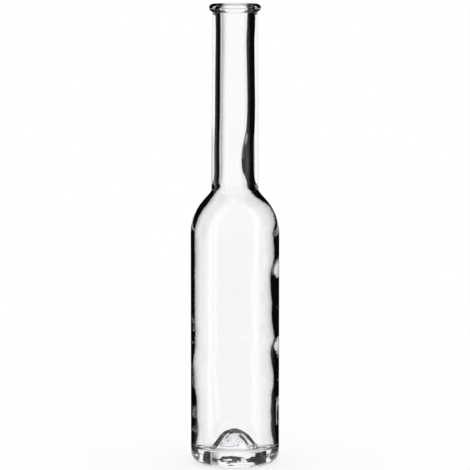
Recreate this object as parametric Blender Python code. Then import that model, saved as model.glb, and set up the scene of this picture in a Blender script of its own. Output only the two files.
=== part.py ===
"""Spirits bottle: a tall, slim bottle of clear moulded glass with an open cork mouth.

The bottle is one turned wall of glass. Its section is a closed outline in the plane
of radius and height, from the middle of the punt under the base, round the outside
to the lip, and down the inside to the middle of the floor. Metres, +Z up, with the
origin where the axis meets the surface that the bottle stands on.
"""

import math

import bmesh
import bpy

# The body, and the heel that rounds it into the base
BODY_DIAMETER = 0.0500
BODY_WALL = 0.0030
BODY_TOP_HEIGHT = 0.1306
HEEL_RADIUS = 0.0052

# The shoulder: a round arc off the body, a straight cone, and a hollow arc into the neck
SHOULDER_RADIUS = 0.0280
SHOULDER_CONE_ANGLE = math.radians(41.5)
NECK_FILLET_RADIUS = 0.0040

# The cork mouth, which tapers from its lip down to the throat, and the edge at its lip
MOUTH_DIAMETER = 0.0150
MOUTH_DEPTH = 0.0200
MOUTH_EDGE_RADIUS = 0.0009
THROAT_DIAMETER = 0.0145

# The neck round it, from the shoulder's end to the lip, slightly wider at its foot
NECK_LENGTH = 0.1036
NECK_TOP_WALL = 0.0052
NECK_FOOT_WALL = 0.0059
NECK_FLARE = 0.0005

# The collar, a half-round ring about the lip, and the hollow where it meets the neck
COLLAR_HEIGHT = 0.0043
COLLAR_OVERHANG = 0.00185
COLLAR_FOOT_RADIUS = 0.0006

# The base: a flat ring to stand on, the punt pushed up inside it, and the floor above
FOOT_RING_WIDTH = 0.0063
PUNT_DEPTH = 0.0160
PUNT_EDGE_RADIUS = 0.0020
PUNT_CROWN_GLASS = 0.0024
FLOOR_GLASS = 0.0085
FLOOR_CORNER_RADIUS = 0.0022
FLOOR_HOLLOW_RADIUS = 0.0020

# How finely the section and the turning are cut
TURN_STEPS = 56
LARGE_ARC_STEPS = 6
SMALL_ARC_STEPS = 3
MERGE_DISTANCE = 0.000001

# The look of the glass
GLASS_COLOUR = (0.93, 0.95, 0.95, 1.0)
GLASS_ROUGHNESS = 0.02
GLASS_IOR = 1.52


def arc(centre, radius, start, end, steps):
    """Points of (radius, height) round a centre, from one angle to another."""
    centre_r, centre_z = centre
    points = []
    for step in range(steps + 1):
        angle = start + (end - start) * step / steps
        point_r = centre_r + radius * math.cos(angle)
        point_z = centre_z + radius * math.sin(angle)
        points.append((point_r, point_z))
    return points


def shoulder(body_radius, arc_radius, neck_radius, fillet_radius):
    """The shoulder's points, upwards from the top of the body to the foot of the neck."""
    narrowing = body_radius - neck_radius
    steepest = math.acos(1 - narrowing / (arc_radius + fillet_radius))
    lean = min(SHOULDER_CONE_ANGLE, steepest)
    rounded_width = (arc_radius + fillet_radius) * (1 - math.cos(lean))
    cone_rise = (narrowing - rounded_width) / math.tan(lean)
    rise = (arc_radius + fillet_radius) * math.sin(lean) + cone_rise
    arc_centre = (body_radius - arc_radius, BODY_TOP_HEIGHT)
    fillet_centre = (neck_radius + fillet_radius, BODY_TOP_HEIGHT + rise)
    rounded = arc(arc_centre, arc_radius, 0, lean, LARGE_ARC_STEPS)
    hollow = arc(fillet_centre, fillet_radius, math.pi + lean, math.pi, SMALL_ARC_STEPS)
    return rounded + hollow


def crown_sphere_radius():
    """The punt's round crown, which its depth and its edge's place set between them."""
    edge_centre_r = BODY_DIAMETER / 2 - HEEL_RADIUS - FOOT_RING_WIDTH
    reach = edge_centre_r**2 + PUNT_DEPTH**2 - 2 * PUNT_DEPTH * PUNT_EDGE_RADIUS
    return reach / (2 * PUNT_DEPTH)


def punt():
    """The underside, outwards from the punt's crown to the flat ring that it stands on."""
    crown_radius = crown_sphere_radius()
    crown_centre = (0, PUNT_DEPTH - crown_radius)
    edge_centre = (BODY_DIAMETER / 2 - HEEL_RADIUS - FOOT_RING_WIDTH, PUNT_EDGE_RADIUS)
    slope = math.atan2(edge_centre[1] - crown_centre[1], edge_centre[0])
    crown = arc(crown_centre, crown_radius, math.pi / 2, slope, LARGE_ARC_STEPS)
    edge = arc(
        edge_centre, PUNT_EDGE_RADIUS, math.pi + slope, 3 * math.pi / 2, SMALL_ARC_STEPS
    )
    return crown + edge[1:]


def heel():
    """The round from the flat ring up into the body's wall."""
    centre = (BODY_DIAMETER / 2 - HEEL_RADIUS, HEEL_RADIUS)
    return arc(centre, HEEL_RADIUS, -math.pi / 2, 0, LARGE_ARC_STEPS)


def collar(neck_radius, lip_height):
    """The collar, upwards from the hollow under the ring to the flat top of the lip."""
    ring_radius = COLLAR_HEIGHT / 2
    ring_centre = (
        neck_radius + COLLAR_OVERHANG - ring_radius,
        lip_height - ring_radius,
    )
    foot_centre_r = neck_radius + COLLAR_FOOT_RADIUS
    across = foot_centre_r - ring_centre[0]
    drop = math.sqrt((ring_radius + COLLAR_FOOT_RADIUS) ** 2 - across**2)
    lean = math.atan2(drop, across)
    foot_centre = (foot_centre_r, ring_centre[1] - drop)
    foot = arc(foot_centre, COLLAR_FOOT_RADIUS, math.pi, math.pi - lean, SMALL_ARC_STEPS)
    ring = arc(ring_centre, ring_radius, -lean, math.pi / 2, LARGE_ARC_STEPS)
    return foot + ring[1:]


def mouth(lip_height):
    """The mouth, inwards over the lip's inner edge and down its taper to the throat."""
    radius = MOUTH_DIAMETER / 2
    edge_centre = (radius + MOUTH_EDGE_RADIUS, lip_height - MOUTH_EDGE_RADIUS)
    edge = arc(edge_centre, MOUTH_EDGE_RADIUS, math.pi / 2, math.pi, SMALL_ARC_STEPS)
    return edge + [(THROAT_DIAMETER / 2, lip_height - MOUTH_DEPTH)]


def floor():
    """The inside of the base, inwards from the wall to the crown over the punt."""
    wall_radius = BODY_DIAMETER / 2 - BODY_WALL
    crown_radius = crown_sphere_radius() + PUNT_CROWN_GLASS
    crown_centre = (0, PUNT_DEPTH + PUNT_CROWN_GLASS - crown_radius)
    hollow_centre_z = FLOOR_GLASS + FLOOR_HOLLOW_RADIUS
    rise = hollow_centre_z - crown_centre[1]
    hollow_centre_r = math.sqrt((crown_radius + FLOOR_HOLLOW_RADIUS) ** 2 - rise**2)
    slope = math.atan2(rise, hollow_centre_r)
    corner_radius = min(FLOOR_CORNER_RADIUS, wall_radius - hollow_centre_r)
    corner_centre = (wall_radius - corner_radius, FLOOR_GLASS + corner_radius)
    corner = arc(corner_centre, corner_radius, 0, -math.pi / 2, SMALL_ARC_STEPS)
    hollow = arc(
        (hollow_centre_r, hollow_centre_z),
        FLOOR_HOLLOW_RADIUS,
        3 * math.pi / 2,
        math.pi + slope,
        SMALL_ARC_STEPS,
    )
    crown = arc(crown_centre, crown_radius, slope, math.pi / 2, LARGE_ARC_STEPS)
    return corner + hollow + crown[1:]


def section():
    """The whole outline of the glass, from the punt's crown round to the floor's crown."""
    body_radius = BODY_DIAMETER / 2
    neck_top_radius = MOUTH_DIAMETER / 2 + NECK_TOP_WALL
    neck_foot_radius = neck_top_radius + NECK_FLARE
    outside = shoulder(
        body_radius, SHOULDER_RADIUS, neck_foot_radius, NECK_FILLET_RADIUS
    )
    inside = shoulder(
        body_radius - BODY_WALL,
        SHOULDER_RADIUS - BODY_WALL,
        neck_foot_radius - NECK_FOOT_WALL,
        NECK_FILLET_RADIUS + NECK_FOOT_WALL,
    )
    lip_height = outside[-1][1] + NECK_LENGTH
    outer = punt() + heel() + outside + collar(neck_top_radius, lip_height)
    inner = mouth(lip_height) + inside[::-1] + floor()
    return outer + inner


def glass_material():
    """Clear, colourless bottle glass."""
    material = bpy.data.materials.new("clear_glass")
    material.use_nodes = True
    shader = material.node_tree.nodes["Principled BSDF"]
    shader.inputs["Base Color"].default_value = GLASS_COLOUR
    shader.inputs["Roughness"].default_value = GLASS_ROUGHNESS
    shader.inputs["Metallic"].default_value = 0.0
    shader.inputs["IOR"].default_value = GLASS_IOR
    shader.inputs["Transmission Weight"].default_value = 1.0
    return material


def turned(name, outline, material):
    """One closed solid, made by turning an outline of (radius, height) about the Z axis."""
    mesh = bpy.data.meshes.new(name)
    shape = bmesh.new()
    points = [shape.verts.new((point_r, 0, point_z)) for point_r, point_z in outline]
    edges = [shape.edges.new(pair) for pair in zip(points, points[1:])]
    bmesh.ops.spin(
        shape,
        geom=points + edges,
        cent=(0, 0, 0),
        axis=(0, 0, 1),
        angle=2 * math.pi,
        steps=TURN_STEPS,
    )
    bmesh.ops.remove_doubles(shape, verts=shape.verts[:], dist=MERGE_DISTANCE)
    bmesh.ops.recalc_face_normals(shape, faces=shape.faces[:])
    shape.to_mesh(mesh)
    shape.free()
    mesh.shade_smooth()
    mesh.materials.append(material)
    bottle = bpy.data.objects.new(name, mesh)
    bpy.context.collection.objects.link(bottle)
    return bottle


for old in list(bpy.data.objects):
    bpy.data.objects.remove(old)

turned("glass_bottle", section(), glass_material())
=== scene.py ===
"""The looks of the spirits bottle: clear moulded glass, standing on a white studio table."""

import math

import bpy
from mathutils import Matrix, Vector, noise


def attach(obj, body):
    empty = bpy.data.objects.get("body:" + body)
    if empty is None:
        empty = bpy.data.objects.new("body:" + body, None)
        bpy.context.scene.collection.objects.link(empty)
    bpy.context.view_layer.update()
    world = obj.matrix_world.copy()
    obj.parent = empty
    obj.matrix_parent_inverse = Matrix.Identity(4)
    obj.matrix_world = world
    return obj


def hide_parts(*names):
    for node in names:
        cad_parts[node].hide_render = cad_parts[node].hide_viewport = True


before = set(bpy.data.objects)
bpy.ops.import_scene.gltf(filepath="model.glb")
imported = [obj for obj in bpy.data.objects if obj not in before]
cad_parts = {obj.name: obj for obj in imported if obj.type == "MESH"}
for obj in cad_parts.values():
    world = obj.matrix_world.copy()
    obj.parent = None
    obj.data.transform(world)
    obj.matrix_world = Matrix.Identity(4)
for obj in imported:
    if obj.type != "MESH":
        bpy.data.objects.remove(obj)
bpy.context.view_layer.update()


# The camera stands in front of the bottle, a little above its middle, and looks slightly
# down. Its long lens keeps the neck and the body nearly upright.
CAMERA_TILT = math.radians(6.8)
CAMERA_DISTANCE = 1.71
CAMERA_AIM_HEIGHT = 0.1295
PICTURE_WIDTH_AT_BOTTLE = 0.2652
SENSOR_WIDTH_MM = 36.0
NEAREST_SEEN = 0.01
FARTHEST_SEEN = 100.0

lens = bpy.data.cameras.new("camera")
lens.sensor_width = SENSOR_WIDTH_MM
lens.lens = SENSOR_WIDTH_MM * CAMERA_DISTANCE / PICTURE_WIDTH_AT_BOTTLE
lens.clip_start = NEAREST_SEEN
lens.clip_end = FARTHEST_SEEN
camera = bpy.data.objects.new("camera", lens)
camera.location = (
    0,
    -CAMERA_DISTANCE * math.cos(CAMERA_TILT),
    CAMERA_AIM_HEIGHT + CAMERA_DISTANCE * math.sin(CAMERA_TILT),
)
camera.rotation_euler = (math.pi / 2 - CAMERA_TILT, 0, 0)
bpy.context.collection.objects.link(camera)
bpy.context.scene.camera = camera
bpy.context.scene.view_settings.view_transform = "Standard"


# The glass bottle: one wall of clear soda-lime glass, blown in a two-part mould. The mould
# makes the outside true and leaves its seams, and the blown inside is uneven, thicker down
# one side and waved up the wall.
BODY_RADIUS = 0.02495
BODY_WALL = 0.00295
BODY_TOP_HEIGHT = 0.1306
HEEL_RADIUS = 0.0052
SHOULDER_RADIUS = 0.0280
SHOULDER_CONE_ANGLE = math.radians(41.5)
NECK_FILLET_RADIUS = 0.0040
NECK_TOP_RADIUS = 0.0127
NECK_FOOT_RADIUS = 0.0132
NECK_FOOT_WALL = 0.0059
LIP_HEIGHT = 0.25966
MOUTH_RADIUS = 0.0075
MOUTH_EDGE_RADIUS = 0.0009
COLLAR_HEIGHT = 0.0043
COLLAR_OVERHANG = 0.00185
COLLAR_FOOT_RADIUS = 0.0006
FOOT_RING_WIDTH = 0.0063
PUNT_DEPTH = 0.0160
PUNT_EDGE_RADIUS = 0.0020
PUNT_CROWN_GLASS = 0.0024
FLOOR_GLASS = 0.0085
FLOOR_CORNER_RADIUS = 0.0022
FLOOR_HOLLOW_RADIUS = 0.0020

# How finely the outline and the turning are cut
COLUMNS = 240
LONGEST_STEP = 0.0021
ARC_STEP = math.radians(7)
SMALLEST_ARC_STEPS = 4

# How much thicker than its plain wall the glass is at each height, up the right side and
# up the left side
RIGHT_EXTRA_GLASS = (
    (0.012, 0.00040),
    (0.018, 0.00100),
    (0.021, 0.00110),
    (0.025, 0.00100),
    (0.030, 0.00110),
    (0.034, 0.00090),
    (0.039, 0.00075),
    (0.043, 0.00025),
    (0.048, 0.00020),
    (0.053, 0.00050),
    (0.057, 0.00100),
    (0.062, 0.00115),
    (0.066, 0.00060),
    (0.071, -0.00010),
    (0.075, 0.00020),
    (0.080, 0.00065),
    (0.085, 0.00080),
    (0.091, 0.00075),
    (0.098, 0.00110),
    (0.103, 0.00115),
    (0.107, 0.00105),
    (0.112, 0.00035),
    (0.116, -0.00015),
    (0.121, -0.00025),
    (0.127, -0.00010),
    (0.131, -0.00040),
    (0.135, -0.00130),
    (0.138, -0.00175),
    (0.141, -0.00220),
    (0.144, -0.00240),
    (0.147, -0.00240),
    (0.150, -0.00150),
    (0.153, -0.00040),
    (0.156, -0.00100),
    (0.159, -0.00040),
    (0.164, 0.00015),
    (0.170, 0.00040),
    (0.176, 0.00055),
    (0.182, 0.00045),
    (0.188, 0.00015),
    (0.200, 0.00000),
    (0.220, 0.00015),
    (0.240, 0.00025),
    (0.247, 0.00000),
    (0.258, -0.00010),
)
LEFT_EXTRA_GLASS = (
    (0.012, 0.00040),
    (0.018, 0.00080),
    (0.021, 0.00060),
    (0.025, 0.00025),
    (0.030, 0.00020),
    (0.034, 0.00000),
    (0.039, -0.00050),
    (0.043, -0.00085),
    (0.048, -0.00100),
    (0.053, -0.00125),
    (0.057, -0.00140),
    (0.062, -0.00100),
    (0.066, -0.00055),
    (0.071, -0.00060),
    (0.075, -0.00045),
    (0.080, -0.00075),
    (0.093, -0.00085),
    (0.107, -0.00075),
    (0.116, -0.00060),
    (0.127, -0.00065),
    (0.133, -0.00060),
    (0.137, -0.00045),
    (0.141, -0.00030),
    (0.145, -0.00020),
    (0.150, -0.00020),
    (0.153, -0.00060),
    (0.156, -0.00150),
    (0.159, -0.00090),
    (0.164, -0.00040),
    (0.180, -0.00030),
    (0.196, -0.00005),
    (0.218, 0.00015),
    (0.240, 0.00030),
    (0.258, 0.00020),
)

# The lump in the neck's wall, in front on the right, by its height
LUMP = (
    (0.150, 0.00000),
    (0.155, 0.00020),
    (0.159, 0.00060),
    (0.163, 0.00110),
    (0.167, 0.00150),
    (0.171, 0.00155),
    (0.175, 0.00150),
    (0.180, 0.00120),
    (0.185, 0.00080),
    (0.190, 0.00040),
    (0.200, 0.00010),
    (0.215, 0.00000),
)
LUMP_AZIMUTH = math.radians(-45)
LUMP_HALF_ANGLE = math.radians(90)

# Where the unevenness fades out, near the floor and near the lip, and the middle of the
# floor, which it leaves alone
UNEVEN_FOOT = 0.010
UNEVEN_TOP = 0.258
UNEVEN_FADE = 0.006
EVEN_RADIUS = 0.0020

# The slow waves on the blown inside, stretched up the wall
BLOWN_WAVE_LENGTH = 0.016
BLOWN_WAVE_STRETCH = 2.2
BLOWN_WAVE_HEIGHT = 0.00014

# The rougher waves of the floor and of the punt under it
BASE_WAVE_LENGTH = 0.0038
BASE_WAVE_HEIGHT = 0.00034
BASE_WAVE_RADIUS = 0.0215
BASE_WAVE_FADE = 0.0040

# The slight dents all round the heel
HEEL_WAVE_COUNT = 6.0
HEEL_WAVE_DEPTH = 0.00028
HEEL_WAVE_STRETCH = 2.0
HEEL_FADE_RATE = 5.0

# The mould's two seams, at the left and at the right
SEAM_PROUD = 0.00005
SEAM_FOOT = 0.006
SEAM_TOP = 0.2545

# The small knurls across the foot ring
KNURL_COUNT = 60
KNURL_HEIGHT = 0.00022
KNURL_INNER_RADIUS = 0.0139
KNURL_OUTER_RADIUS = 0.0196

# The glass, with a tint that varies slightly and the slow waves of its polished skin
GLASS_TINT = (0.994, 0.994, 1.0, 1.0)
GLASS_TINT_DEEPER = (0.988, 0.988, 0.999, 1.0)
GLASS_ROUGHNESS = 0.0
GLASS_IOR = 1.52
SKIN_WAVE_SCALE = 140.0
SKIN_WAVE_DETAIL = 2.0
SKIN_WAVE_HEIGHT = 0.00003


def arc(centre, radius, start, end):
    """Points of (radius, height) round a centre, from one angle to another."""
    steps = max(SMALLEST_ARC_STEPS, math.ceil(abs(end - start) / ARC_STEP))
    points = []
    for step in range(steps + 1):
        angle = start + (end - start) * step / steps
        points.append(
            (
                centre[0] + radius * math.cos(angle),
                centre[1] + radius * math.sin(angle),
            )
        )
    return points


def shoulder(body_radius, arc_radius, neck_radius, fillet_radius):
    """The shoulder's points, upwards from the top of the body to the foot of the neck."""
    lean = SHOULDER_CONE_ANGLE
    rounded_width = (arc_radius + fillet_radius) * (1 - math.cos(lean))
    cone_rise = (body_radius - neck_radius - rounded_width) / math.tan(lean)
    rise = (arc_radius + fillet_radius) * math.sin(lean) + cone_rise
    rounded = arc(
        (body_radius - arc_radius, BODY_TOP_HEIGHT), arc_radius, 0, lean
    )
    hollow = arc(
        (neck_radius + fillet_radius, BODY_TOP_HEIGHT + rise),
        fillet_radius,
        math.pi + lean,
        math.pi,
    )
    return rounded + hollow


def crown_sphere_radius():
    """The punt's round crown, which its depth and its edge's place set between them."""
    edge_r = BODY_RADIUS - HEEL_RADIUS - FOOT_RING_WIDTH
    reach = edge_r**2 + PUNT_DEPTH**2 - 2 * PUNT_DEPTH * PUNT_EDGE_RADIUS
    return reach / (2 * PUNT_DEPTH)


def punt_and_heel():
    """The underside, outwards from the punt's crown over the foot ring and up the heel."""
    edge_r = BODY_RADIUS - HEEL_RADIUS - FOOT_RING_WIDTH
    crown_radius = crown_sphere_radius()
    crown_z = PUNT_DEPTH - crown_radius
    slope = math.atan2(PUNT_EDGE_RADIUS - crown_z, edge_r)
    crown = arc((0, crown_z), crown_radius, math.pi / 2, slope)
    edge = arc(
        (edge_r, PUNT_EDGE_RADIUS),
        PUNT_EDGE_RADIUS,
        math.pi + slope,
        3 * math.pi / 2,
    )
    heel = arc(
        (BODY_RADIUS - HEEL_RADIUS, HEEL_RADIUS), HEEL_RADIUS, -math.pi / 2, 0
    )
    return crown + edge[1:] + heel


def collar_and_lip():
    """The collar, upwards from the hollow under it to the flat lip and the mouth's edge."""
    ring_radius = COLLAR_HEIGHT / 2
    ring_r = NECK_TOP_RADIUS + COLLAR_OVERHANG - ring_radius
    ring_z = LIP_HEIGHT - ring_radius
    foot_r = NECK_TOP_RADIUS + COLLAR_FOOT_RADIUS
    across = foot_r - ring_r
    drop = math.sqrt((ring_radius + COLLAR_FOOT_RADIUS) ** 2 - across**2)
    lean = math.atan2(drop, across)
    foot = arc(
        (foot_r, ring_z - drop), COLLAR_FOOT_RADIUS, math.pi, math.pi - lean
    )
    ring = arc((ring_r, ring_z), ring_radius, -lean, math.pi / 2)
    edge_centre = (MOUTH_RADIUS + MOUTH_EDGE_RADIUS, LIP_HEIGHT - MOUTH_EDGE_RADIUS)
    edge = arc(edge_centre, MOUTH_EDGE_RADIUS, math.pi / 2, math.pi)
    return foot + ring[1:] + edge


def bottle_floor():
    """The inside of the base, inwards from the wall to the crown over the punt."""
    crown_radius = crown_sphere_radius() + PUNT_CROWN_GLASS
    crown_z = PUNT_DEPTH + PUNT_CROWN_GLASS - crown_radius
    hollow_z = FLOOR_GLASS + FLOOR_HOLLOW_RADIUS
    rise = hollow_z - crown_z
    hollow_r = math.sqrt((crown_radius + FLOOR_HOLLOW_RADIUS) ** 2 - rise**2)
    slope = math.atan2(rise, hollow_r)
    corner_centre = (
        BODY_RADIUS - BODY_WALL - FLOOR_CORNER_RADIUS,
        FLOOR_GLASS + FLOOR_CORNER_RADIUS,
    )
    corner = arc(corner_centre, FLOOR_CORNER_RADIUS, 0, -math.pi / 2)
    hollow = arc(
        (hollow_r, hollow_z), FLOOR_HOLLOW_RADIUS, 3 * math.pi / 2, math.pi + slope
    )
    crown = arc((0, crown_z), crown_radius, slope, math.pi / 2)
    return corner + hollow + crown[1:]


def in_short_steps(points):
    """The same outline with points added, so that no step in it is long."""
    result = [points[0]]
    for start, end in zip(points, points[1:]):
        length = math.dist(start, end)
        steps = max(1, math.ceil(length / LONGEST_STEP))
        for step in range(1, steps + 1):
            share = step / steps
            result.append(
                (
                    start[0] + (end[0] - start[0]) * share,
                    start[1] + (end[1] - start[1]) * share,
                )
            )
    return result


def smooth_step(share):
    """A share from 0 to 1, eased at both ends."""
    share = min(1.0, max(0.0, share))
    return share * share * (3 - 2 * share)


def from_table(table, height):
    """The value that a table of (height, value) gives at a height, smoothly through it."""
    if height <= table[0][0]:
        return table[0][1]
    if height >= table[-1][0]:
        return table[-1][1]
    row = 0
    while table[row + 1][0] < height:
        row += 1
    before = table[max(row - 1, 0)]
    low, high = table[row], table[row + 1]
    after = table[min(row + 2, len(table) - 1)]
    span = high[0] - low[0]
    slope_low = (high[1] - before[1]) / (high[0] - before[0])
    slope_high = (after[1] - low[1]) / (after[0] - low[0])
    share = (height - low[0]) / span
    rest = 1 - share
    value = low[1] * (1 + 2 * share) * rest**2 + high[1] * (1 + 2 * rest) * share**2
    return value + span * share * rest * (slope_low * rest - slope_high * share)


def extra_glass(height, azimuth):
    """How far the blown inside stands in from its plain place, at a height and azimuth."""
    fade_in = smooth_step((height - UNEVEN_FOOT) / UNEVEN_FADE)
    fade_out = smooth_step((UNEVEN_TOP - height) / UNEVEN_FADE)
    rightness = (1 + math.cos(azimuth)) / 2
    uneven = from_table(RIGHT_EXTRA_GLASS, height) * rightness**2
    uneven += from_table(LEFT_EXTRA_GLASS, height) * (1 - rightness) ** 2
    place = Vector(
        (
            BODY_RADIUS * math.cos(azimuth),
            BODY_RADIUS * math.sin(azimuth),
            height / BLOWN_WAVE_STRETCH,
        )
    )
    wave = BLOWN_WAVE_HEIGHT * noise.noise(place / BLOWN_WAVE_LENGTH)
    off_lump = (azimuth - LUMP_AZIMUTH + math.pi) % (2 * math.pi) - math.pi
    lump = from_table(LUMP, height)
    lump *= smooth_step(1 - abs(off_lump) / LUMP_HALF_ANGLE)
    return (uneven + lump + wave) * fade_in * fade_out


def base_wave(radius, height, azimuth):
    """How far the rough-blown floor and the punt under it stand above their plain places."""
    fade = smooth_step((BASE_WAVE_RADIUS - radius) / BASE_WAVE_FADE)
    place = Vector((radius * math.cos(azimuth), radius * math.sin(azimuth), height))
    return fade * BASE_WAVE_HEIGHT * noise.noise(place / BASE_WAVE_LENGTH)


def heel_wave(height, azimuth):
    """How far the heel is dented in, fading out where it meets the foot ring and the wall."""
    share = height / HEEL_RADIUS
    fade = smooth_step(HEEL_FADE_RATE * share) * smooth_step(HEEL_FADE_RATE * (1 - share))
    rise = HEEL_WAVE_STRETCH * share
    place = Vector((math.cos(azimuth), math.sin(azimuth), rise)) * HEEL_WAVE_COUNT
    return fade * HEEL_WAVE_DEPTH * (1 + noise.noise(place)) / 2


def knurl(radius, azimuth):
    """How far the foot ring is cut back between the knurls that the bottle stands on."""
    if not KNURL_INNER_RADIUS < radius < KNURL_OUTER_RADIUS:
        return 0.0
    return KNURL_HEIGHT * (1 - math.cos(KNURL_COUNT * azimuth)) / 2


def seam(height, column):
    """How far the mould's seam stands out of the wall, on the two columns that have one."""
    if column % (COLUMNS // 2) or not SEAM_FOOT < height < SEAM_TOP:
        return 0.0
    return SEAM_PROUD


def column_azimuth(column):
    """The direction of one column of the mesh, from the right round by the back."""
    return 2 * math.pi * column / COLUMNS


def on_outside(radius, height, column):
    """A point of the outside on one column, moved by the mould's marks and the punt's waves."""
    azimuth = column_azimuth(column)
    marked_radius = radius + seam(height, column)
    if height < KNURL_HEIGHT:
        return marked_radius, height + knurl(radius, azimuth)
    if radius > KNURL_OUTER_RADIUS and height < HEEL_RADIUS:
        return marked_radius - heel_wave(height, azimuth), height
    if radius < KNURL_INNER_RADIUS and height < PUNT_DEPTH:
        wave = base_wave(radius, height, azimuth)
        return marked_radius + wave, height + wave
    return marked_radius, height


def on_inside(radius, height, column):
    """A point of the blown inside on one column, moved by the uneven wall and the waves."""
    azimuth = column_azimuth(column)
    blown_radius, blown_height = radius, height
    if radius > EVEN_RADIUS:
        blown_radius -= extra_glass(height, azimuth)
    if height < PUNT_DEPTH + PUNT_CROWN_GLASS:
        wave = base_wave(radius, height, azimuth)
        blown_radius += wave
        blown_height += wave
    return blown_radius, blown_height


def bottle_mesh():
    """The bottle's closed mesh, ring by ring from the punt's crown to the floor's crown."""
    outside = in_short_steps(
        punt_and_heel()
        + shoulder(BODY_RADIUS, SHOULDER_RADIUS, NECK_FOOT_RADIUS, NECK_FILLET_RADIUS)
        + collar_and_lip()
    )
    inside_shoulder = shoulder(
        BODY_RADIUS - BODY_WALL,
        SHOULDER_RADIUS - BODY_WALL,
        NECK_FOOT_RADIUS - NECK_FOOT_WALL,
        NECK_FILLET_RADIUS + NECK_FOOT_WALL,
    )
    inside = in_short_steps(
        [outside[-1]] + inside_shoulder[::-1] + bottle_floor()
    )[1:]
    vertices = [(0, 0, outside[0][1])]
    rings = outside[1:] + inside[:-1]
    for number, (radius, height) in enumerate(rings):
        placed = on_outside if number < len(outside) - 1 else on_inside
        for column in range(COLUMNS):
            azimuth = column_azimuth(column)
            ring_radius, ring_height = placed(radius, height, column)
            vertices.append(
                (
                    ring_radius * math.cos(azimuth),
                    ring_radius * math.sin(azimuth),
                    ring_height,
                )
            )
    vertices.append((0, 0, inside[-1][1]))
    last = len(vertices) - 1
    top = 1 + (len(rings) - 1) * COLUMNS
    faces = []
    for column in range(COLUMNS):
        following = (column + 1) % COLUMNS
        faces.append((0, 1 + following, 1 + column))
        faces.append((top + column, top + following, last))
    for ring in range(len(rings) - 1):
        low = 1 + ring * COLUMNS
        high = low + COLUMNS
        for column in range(COLUMNS):
            following = (column + 1) % COLUMNS
            faces.append((low + column, low + following, high + following, high + column))
    mesh = bpy.data.meshes.new("spirits_bottle")
    mesh.from_pydata(vertices, [], faces)
    mesh.shade_smooth()
    return mesh


def bottle_glass():
    """Clear glass, a little deeper in tint in places, with the slow waves of its skin."""
    material = bpy.data.materials.new("clear_glass")
    material.use_nodes = True
    tree = material.node_tree
    shader = tree.nodes["Principled BSDF"]
    shader.inputs["Roughness"].default_value = GLASS_ROUGHNESS
    shader.inputs["IOR"].default_value = GLASS_IOR
    shader.inputs["Transmission Weight"].default_value = 1.0
    place = tree.nodes.new("ShaderNodeTexCoord")
    waves = tree.nodes.new("ShaderNodeTexNoise")
    waves.inputs["Scale"].default_value = SKIN_WAVE_SCALE
    waves.inputs["Detail"].default_value = SKIN_WAVE_DETAIL
    tint = tree.nodes.new("ShaderNodeMix")
    tint.data_type = "RGBA"
    tint.inputs["A"].default_value = GLASS_TINT
    tint.inputs["B"].default_value = GLASS_TINT_DEEPER
    bump = tree.nodes.new("ShaderNodeBump")
    bump.inputs["Distance"].default_value = SKIN_WAVE_HEIGHT
    tree.links.new(place.outputs["Object"], waves.inputs["Vector"])
    tree.links.new(waves.outputs["Fac"], tint.inputs["Factor"])
    tree.links.new(waves.outputs["Fac"], bump.inputs["Height"])
    tree.links.new(tint.outputs["Result"], shader.inputs["Base Color"])
    tree.links.new(bump.outputs["Normal"], shader.inputs["Normal"])
    return material


bottle = bpy.data.objects.new("spirits_bottle", bottle_mesh())
bottle.data.materials.append(bottle_glass())
bpy.context.collection.objects.link(bottle)
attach(bottle, "root")
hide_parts("glass_bottle")


# The studio's light, as the glass sees it: a white window behind the bottle, black boards
# beside it, white paper, a card and white sides further round, and on the camera's side a
# white front with two bright strips. None of them stands in the scene: they are painted
# into the world's light and into the table's glow, and only rays that come from the glass
# see them. So they are painted reflections, painted highlights and painted shade, which make
# the glass's bright lines and dark bands. The camera and the table see nothing but plain
# white.
PLAIN_WHITE = (1.0, 1.0, 1.0, 1.0)
WHITE_LEVEL = 1.0
# The level of the painted black, in the boards and wherever nothing else is painted
PAINTED_BLACK_LEVEL = 0.003

# Directions are turns from straight behind the bottle, with the right as plus, and each
# softness is how far an edge fades to both sides.

# For light mirrored in the glass, painted reflections: the gap between the boards, the
# front as the body and as the neck see it, the strips in it, which are painted highlights
# brighter than white, and paper on the left
GAP_HALF_ANGLE = math.radians(5)
GAP_SOFTNESS = math.radians(1)
NEAR_FRONT_START = math.radians(55)
NEAR_FRONT_FULL = math.radians(82)
NEAR_FRONT_LEVEL = 0.6
FAR_FRONT_START = math.radians(96)
FAR_FRONT_FULL = math.radians(112)
FAR_FRONT_LEVEL = 0.87
LEFT_STRIP_START = math.radians(-121)
LEFT_STRIP_END = math.radians(-106)
RIGHT_STRIP_START = math.radians(114)
RIGHT_STRIP_END = math.radians(127)
STRIP_SOFTNESS = math.radians(2)
PAINTED_HIGHLIGHT_LEVEL = 1.4
LEFT_PAPER_START = math.radians(-78)
LEFT_PAPER_END = math.radians(-57)
LEFT_PAPER_SOFTNESS = math.radians(8)
LEFT_PAPER_LEVEL = 0.6

# For light that the wall hands on by mirroring it again and again: a card low on the left,
# painted light on the table near the bottle, with painted black round it
CARD_START = math.radians(-80)
CARD_END = math.radians(-12)
CARD_SOFTNESS = math.radians(4)
CARD_NEAREST = 0.075
CARD_FARTHEST = 0.400
CARD_REACH_SOFTNESS = 0.010
CARD_LEVEL = 0.85

# For light that the skin mirrors at a glance, a painted reflection: white painted on the
# table behind, on the left only far off
SKIN_WHITE_TURN = math.radians(60)
SKIN_WHITE_SOFTNESS = math.radians(3)
SKIN_WHITE_LEVEL = 0.9
LEFT_SKIN_WHITE_START = 2.15
LEFT_SKIN_WHITE_FULL = 2.45

# For light through solid glass, painted light and shade: the window, the sides that the
# body and the neck see past the boards, and the white that the heel sees
WINDOW_HALF_ANGLE = math.radians(15)
WINDOW_SOFTNESS = math.radians(3)
SIDES_TURN = math.radians(46)
SIDES_SOFTNESS = math.radians(4)
HEEL_WHITE_START = math.radians(30)
HEEL_WHITE_END = math.radians(46)
HEEL_WHITE_SOFTNESS = math.radians(3)
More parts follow.
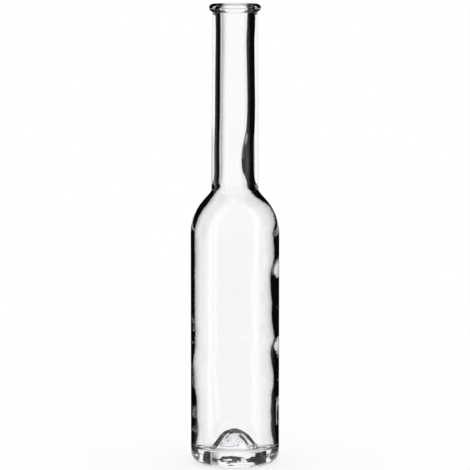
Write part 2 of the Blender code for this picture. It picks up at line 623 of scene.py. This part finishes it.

# For light through the hollow of the bottle, in front of the white: the painted black
# right-hand board, which the glass mirrors too, and a light shade on the left
RIGHT_BOARD_START = math.radians(41)
RIGHT_BOARD_END = math.radians(84)
RIGHT_BOARD_SOFTNESS = math.radians(4)
LEFT_SHADE_START = math.radians(-80)
LEFT_SHADE_END = math.radians(-33)
LEFT_SHADE_SOFTNESS = math.radians(16)
LEFT_SHADE = 0.4

# How often light has been mirrored or has crossed the glass's skin tells it apart, and
# chooses which of the painted light and shade it is shown. Each of these lies half way
# between two whole counts.
AT_LEAST_ONCE = 0.5
NOT_ONCE = 0.5
SOLID_GLASS_CROSSINGS = 3.5
HANDED_ON_MIRRORINGS = 2.5


def calculated(tree, operation, *values):
    """The output of a Math node whose inputs are these numbers or other nodes' outputs."""
    node = tree.nodes.new("ShaderNodeMath")
    node.operation = operation
    for socket, value in zip(node.inputs, values):
        if isinstance(value, (int, float)):
            socket.default_value = value
        else:
            tree.links.new(value, socket)
    return node.outputs["Value"]


def product(tree, first, *others):
    """All of these values multiplied together."""
    result = first
    for value in others:
        result = calculated(tree, "MULTIPLY", result, value)
    return result


def highest(tree, first, *others):
    """The highest of these levels."""
    result = first
    for level in others:
        result = calculated(tree, "MAXIMUM", result, level)
    return result


def left_over(tree, share):
    """What a share leaves of 1."""
    return calculated(tree, "SUBTRACT", 1.0, share)


def eased(tree, value, start, end):
    """0 where the value is at its start and 1 where it is at its end, eased between."""
    node = tree.nodes.new("ShaderNodeMapRange")
    node.interpolation_type = "SMOOTHSTEP"
    node.inputs["From Min"].default_value = start
    node.inputs["From Max"].default_value = end
    tree.links.new(value, node.inputs["Value"])
    return node.outputs["Result"]


def between(tree, value, start, end, softness):
    """1 between two values and 0 outside them, eased over the softness at both ends."""
    risen = eased(tree, value, start - softness, start + softness)
    not_fallen = eased(tree, value, end + softness, end - softness)
    return product(tree, risen, not_fallen)


def chosen(tree, share, first, second):
    """The first value where the share is 0 and the second where it is 1."""
    node = tree.nodes.new("ShaderNodeMix")
    for name, value in (("Factor", share), ("A", first), ("B", second)):
        if isinstance(value, (int, float)):
            node.inputs[name].default_value = value
        else:
            tree.links.new(value, node.inputs[name])
    return node.outputs["Result"]


def painted_right_board(tree, azimuth):
    """1 in front of the black board painted on the right behind the bottle, else 0."""
    return between(
        tree, azimuth, RIGHT_BOARD_START, RIGHT_BOARD_END, RIGHT_BOARD_SOFTNESS
    )


def mirrored_level(tree, azimuth, far, past_base):
    """The painted reflections that the glass mirrors: the gap, the boards, the front, the
    strips, the paper.
    """
    turn = calculated(tree, "ABSOLUTE", azimuth)
    gap = between(tree, turn, -GAP_HALF_ANGLE, GAP_HALF_ANGLE, GAP_SOFTNESS)
    near_front = eased(tree, turn, NEAR_FRONT_START, NEAR_FRONT_FULL)
    far_front = eased(tree, turn, FAR_FRONT_START, FAR_FRONT_FULL)
    front = chosen(tree, far, near_front, far_front)
    front_level = chosen(tree, far, NEAR_FRONT_LEVEL, FAR_FRONT_LEVEL)
    left_strip = between(
        tree, azimuth, LEFT_STRIP_START, LEFT_STRIP_END, STRIP_SOFTNESS
    )
    right_strip = between(
        tree, azimuth, RIGHT_STRIP_START, RIGHT_STRIP_END, STRIP_SOFTNESS
    )
    strip = calculated(tree, "ADD", left_strip, right_strip)
    left_paper = between(
        tree, azimuth, LEFT_PAPER_START, LEFT_PAPER_END, LEFT_PAPER_SOFTNESS
    )
    level = highest(
        tree,
        product(tree, gap, left_over(tree, past_base)),
        product(tree, front, front_level),
        product(tree, strip, PAINTED_HIGHLIGHT_LEVEL),
        product(tree, left_paper, far, LEFT_PAPER_LEVEL),
        PAINTED_BLACK_LEVEL,
    )
    board = product(tree, painted_right_board(tree, azimuth), past_base)
    return chosen(tree, board, level, PAINTED_BLACK_LEVEL)


def painted_card_level(tree, azimuth, reach):
    """What the wall hands on after many mirrorings: the painted card, and painted black
    elsewhere.
    """
    card = between(tree, azimuth, CARD_START, CARD_END, CARD_SOFTNESS)
    low = between(tree, reach, CARD_NEAREST, CARD_FARTHEST, CARD_REACH_SOFTNESS)
    return highest(tree, product(tree, card, low, CARD_LEVEL), PAINTED_BLACK_LEVEL)


def painted_skin_white_level(tree, azimuth, reach, far):
    """What the skin mirrors at a glance, along the neck's edges: the painted white behind."""
    right = between(tree, azimuth, 0, SKIN_WHITE_TURN, SKIN_WHITE_SOFTNESS)
    left = between(tree, azimuth, -SKIN_WHITE_TURN, 0, SKIN_WHITE_SOFTNESS)
    left_far = eased(tree, reach, LEFT_SKIN_WHITE_START, LEFT_SKIN_WHITE_FULL)
    behind = highest(tree, product(tree, right, far), product(tree, left, left_far))
    return product(tree, behind, SKIN_WHITE_LEVEL)


def solid_level(tree, azimuth, past_base):
    """What shows through solid glass: the painted window, boards, sides and heel's white."""
    turn = calculated(tree, "ABSOLUTE", azimuth)
    window = between(
        tree, turn, -WINDOW_HALF_ANGLE, WINDOW_HALF_ANGLE, WINDOW_SOFTNESS
    )
    sides = eased(tree, turn, SIDES_TURN - SIDES_SOFTNESS, SIDES_TURN + SIDES_SOFTNESS)
    heel = between(tree, turn, HEEL_WHITE_START, HEEL_WHITE_END, HEEL_WHITE_SOFTNESS)
    return highest(
        tree,
        window,
        product(tree, sides, past_base),
        product(tree, heel, left_over(tree, past_base)),
        PAINTED_BLACK_LEVEL,
    )


def hollow_level(tree, azimuth, past_base):
    """What shows through the hollow of the bottle: white, less of it in front of the painted
    board on the right and in the light shade on the left.
    """
    left_shade = between(
        tree, azimuth, LEFT_SHADE_START, LEFT_SHADE_END, LEFT_SHADE_SOFTNESS
    )
    left_shade = product(tree, left_shade, LEFT_SHADE)
    darker = calculated(tree, "ADD", painted_right_board(tree, azimuth), left_shade)
    darker = product(tree, darker, past_base)
    return calculated(tree, "SUBTRACT", WHITE_LEVEL, darker)


def light_by_path(tree, mirrored, handed_on, skin, solid, hollow):
    """Whether glass is looking, and the painted level that it gets there; all else gets white.
    """
    path = tree.nodes.new("ShaderNodeLightPath")
    mirrorings = path.outputs["Glossy Depth"]
    crossings = path.outputs["Transmission Depth"]
    on_glass = calculated(
        tree, "GREATER_THAN", calculated(tree, "ADD", mirrorings, crossings), AT_LEAST_ONCE
    )
    on_table = calculated(
        tree, "GREATER_THAN", path.outputs["Diffuse Depth"], AT_LEAST_ONCE
    )
    in_glass = highest(tree, calculated(tree, "SUBTRACT", on_glass, on_table), 0.0)
    is_mirrored = calculated(tree, "GREATER_THAN", mirrorings, AT_LEAST_ONCE)
    is_handed_on = calculated(tree, "GREATER_THAN", mirrorings, HANDED_ON_MIRRORINGS)
    is_outside = calculated(tree, "LESS_THAN", crossings, NOT_ONCE)
    is_solid = calculated(tree, "LESS_THAN", crossings, SOLID_GLASS_CROSSINGS)
    mirrored = chosen(tree, is_handed_on, mirrored, handed_on)
    mirrored = chosen(tree, is_outside, mirrored, highest(tree, mirrored, skin))
    through = chosen(tree, is_solid, hollow, solid)
    level = chosen(tree, is_mirrored, through, mirrored)
    return in_glass, chosen(tree, in_glass, WHITE_LEVEL, level)


world = bpy.data.worlds.new("studio")
world.use_nodes = True
bpy.context.scene.world = world
sky = world.node_tree
background = sky.nodes["Background"]
background.inputs["Color"].default_value = PLAIN_WHITE
direction = sky.nodes.new("ShaderNodeTexCoord")
along = sky.nodes.new("ShaderNodeSeparateXYZ")
sky.links.new(direction.outputs["Generated"], along.inputs["Vector"])
sky_azimuth = calculated(sky, "ARCTAN2", along.outputs["X"], along.outputs["Y"])

# Above the table's far edge the light is as it is far off, but solid glass sees no white
# sides there, only what it sees close to the base
sky_level = light_by_path(
    sky,
    mirrored=mirrored_level(sky, sky_azimuth, far=1.0, past_base=1.0),
    handed_on=PAINTED_BLACK_LEVEL,
    skin=PAINTED_BLACK_LEVEL,
    solid=solid_level(sky, sky_azimuth, past_base=0.0),
    hollow=hollow_level(sky, sky_azimuth, past_base=1.0),
)[1]
sky.links.new(sky_level, background.inputs["Strength"])


# The table: a smooth white sweep, which takes the soft shadow under the bottle. To the
# glass alone it glows with the painted studio in each direction, and with painted white
# close to the base: painted light and shade, since the table is no lamp.
TABLE_RADIUS = 6.0
TABLE_SIDES = 96
TABLE_GAP = 0.0003
TABLE_WHITE = 0.35
TABLE_GLOW = 0.65

# Painted white on the table close to the base, which only the glass sees: towards the
# window for light through solid glass, and away from its direction for light that is
# mirrored
CLOSE_WHITE_RADIUS = 0.028
CLOSE_WHITE_SOFTNESS = 0.006
CLOSE_WHITE_TURN = math.radians(33)
CLOSE_WHITE_TURN_SOFTNESS = math.radians(8)
UNDER_BASE_RADIUS = 0.040
UNDER_BASE_SOFTNESS = 0.020
UNDER_BASE_TURN = math.radians(18)
UNDER_BASE_TURN_SOFTNESS = math.radians(4)

# How far out the painted light changes. The base looks at the table close by, the body further
# out, and the neck far off.
PAST_BASE_START = 0.42
PAST_BASE_FULL = 0.55
FAR_START = 1.15
FAR_FULL = 1.45

corners = []
for side in range(TABLE_SIDES):
    azimuth = 2 * math.pi * side / TABLE_SIDES
    corners.append(
        (TABLE_RADIUS * math.cos(azimuth), TABLE_RADIUS * math.sin(azimuth), -TABLE_GAP)
    )
table_mesh = bpy.data.meshes.new("table")
table_mesh.from_pydata(corners, [], [tuple(range(TABLE_SIDES))])
table = bpy.data.objects.new("table", table_mesh)
bpy.context.collection.objects.link(table)

sweep = bpy.data.materials.new("white_sweep_painted_for_glass")
sweep.use_nodes = True
tree = sweep.node_tree
tree.nodes.clear()
output = tree.nodes.new("ShaderNodeOutputMaterial")
geometry = tree.nodes.new("ShaderNodeNewGeometry")
spot = tree.nodes.new("ShaderNodeSeparateXYZ")
tree.links.new(geometry.outputs["Position"], spot.inputs["Vector"])
to_right, to_back = spot.outputs["X"], spot.outputs["Y"]
table_azimuth = calculated(tree, "ARCTAN2", to_right, to_back)
reach = calculated(
    tree,
    "SQRT",
    calculated(
        tree,
        "ADD",
        product(tree, to_right, to_right),
        product(tree, to_back, to_back),
    ),
)
past_base = eased(tree, reach, PAST_BASE_START, PAST_BASE_FULL)
far = eased(tree, reach, FAR_START, FAR_FULL)

# Painted white close round the base, shown only to rays from the glass
painted_close_white = eased(
    tree, reach, CLOSE_WHITE_RADIUS + CLOSE_WHITE_SOFTNESS, CLOSE_WHITE_RADIUS
)
to_window = between(
    tree, table_azimuth, -CLOSE_WHITE_TURN, CLOSE_WHITE_TURN, CLOSE_WHITE_TURN_SOFTNESS
)
painted_under_base_white = eased(
    tree, reach, UNDER_BASE_RADIUS + UNDER_BASE_SOFTNESS, UNDER_BASE_RADIUS
)
off_window = eased(
    tree,
    calculated(tree, "ABSOLUTE", table_azimuth),
    UNDER_BASE_TURN - UNDER_BASE_TURN_SOFTNESS,
    UNDER_BASE_TURN + UNDER_BASE_TURN_SOFTNESS,
)
in_glass, painted_table_level = light_by_path(
    tree,
    mirrored=highest(
        tree,
        mirrored_level(tree, table_azimuth, far, past_base),
        product(tree, painted_under_base_white, off_window),
    ),
    handed_on=painted_card_level(tree, table_azimuth, reach),
    skin=painted_skin_white_level(tree, table_azimuth, reach, far),
    solid=highest(
        tree,
        solid_level(tree, table_azimuth, past_base),
        product(tree, painted_close_white, to_window),
    ),
    hollow=hollow_level(tree, table_azimuth, past_base),
)

# The glow that only the glass sees on the table: painted light and shade
painted_studio_glow = tree.nodes.new("ShaderNodeEmission")
tree.links.new(painted_table_level, painted_studio_glow.inputs["Strength"])
paper = tree.nodes.new("ShaderNodeBsdfDiffuse")
paper.inputs["Color"].default_value = (TABLE_WHITE, TABLE_WHITE, TABLE_WHITE, 1.0)
glow = tree.nodes.new("ShaderNodeEmission")
glow.inputs["Strength"].default_value = TABLE_GLOW
plain = tree.nodes.new("ShaderNodeAddShader")
tree.links.new(paper.outputs["BSDF"], plain.inputs[0])
tree.links.new(glow.outputs["Emission"], plain.inputs[1])
surface = tree.nodes.new("ShaderNodeMixShader")
tree.links.new(in_glass, surface.inputs["Fac"])
tree.links.new(plain.outputs["Shader"], surface.inputs[1])
tree.links.new(painted_studio_glow.outputs["Emission"], surface.inputs[2])
tree.links.new(surface.outputs["Shader"], output.inputs["Surface"])
table_mesh.materials.append(sweep)


# Enough bounces for light that runs along inside the thick base
LIGHT_BOUNCES = 24
GLOSS_BOUNCES = 16
bpy.context.scene.cycles.max_bounces = LIGHT_BOUNCES
bpy.context.scene.cycles.transmission_bounces = LIGHT_BOUNCES
bpy.context.scene.cycles.glossy_bounces = GLOSS_BOUNCES
